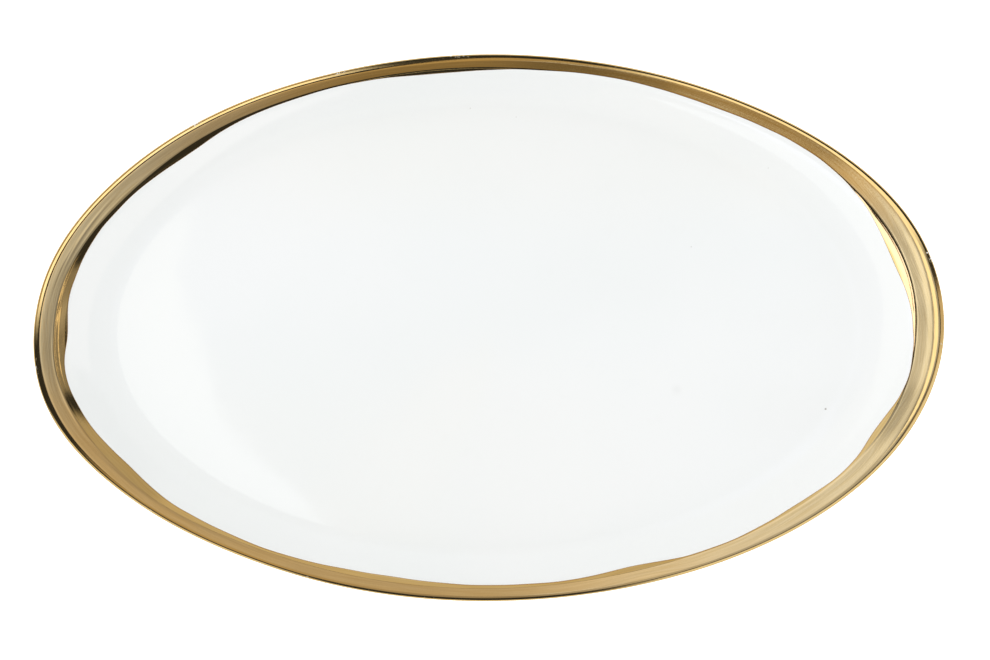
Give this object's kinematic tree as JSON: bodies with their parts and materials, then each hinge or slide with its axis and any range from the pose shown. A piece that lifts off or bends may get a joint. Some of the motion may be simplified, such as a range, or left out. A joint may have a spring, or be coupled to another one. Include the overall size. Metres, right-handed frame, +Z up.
{
  "type": "serving platter",
  "caption": "Oval white china platter: flat serving floor, sloping wall, narrow flange with a hand-brushed gold rim, rolled lip, and an oval foot ring underneath.",
  "frame": {"origin": "middle of the foot ring's bearing plane", "axes": "+X along the long axis, +Y across, +Z up from the foot towards the face"},
  "size_m": [0.3819, 0.2296, 0.0189],
  "materials": {
    "bare_bisque": "unglazed, matt",
    "clear_white_glaze": "clear gloss glaze over white porcelain, a few iron specks",
    "overglaze_gold": "bright fired gold, hand brushed, slightly worn on the lip"
  },
  "bodies": {
    "root": {"porcelain_body": "bare_bisque", "face_glaze": "clear_white_glaze", "foot_well_glaze": "clear_white_glaze", "gold_rim_band": "overglaze_gold"}
  },
  "joints": []
}
